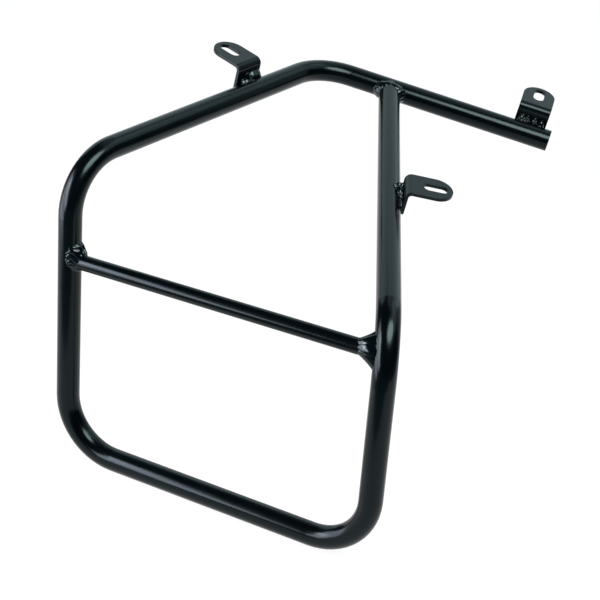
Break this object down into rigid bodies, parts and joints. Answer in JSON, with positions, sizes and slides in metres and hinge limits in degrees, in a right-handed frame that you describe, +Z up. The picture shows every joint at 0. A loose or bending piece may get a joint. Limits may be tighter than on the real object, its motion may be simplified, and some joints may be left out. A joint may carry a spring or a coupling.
{
  "type": "pannier frame",
  "caption": "Bent-tube side frame that hangs from a motorbike's tail and keeps a soft pannier off the wheel, with a crossbar and folded, slotted bolt tabs.",
  "frame": {"origin": "middle of the rail end tab's slot, on the tab's seat face", "axes": "+X forward along the bike and along the hoop's bottom bar, +Y inboard, +Z up with the hoop upright"},
  "size_m": [0.285, 0.395, 0.2915],
  "materials": {
    "frame_coat": "satin black powder coat"
  },
  "bodies": {
    "root": {"main_tube": "frame_coat", "crossbar": "frame_coat", "rear_top_tab": "frame_coat", "side_tab": "frame_coat", "rail_end_tab": "frame_coat", "rear_top_tab_weld": "frame_coat", "side_tab_weld": "frame_coat", "rail_end_tab_weld": "frame_coat", "crossbar_rear_weld": "frame_coat", "crossbar_front_weld": "frame_coat", "rail_joint_weld": "frame_coat"}
  },
  "joints": []
}
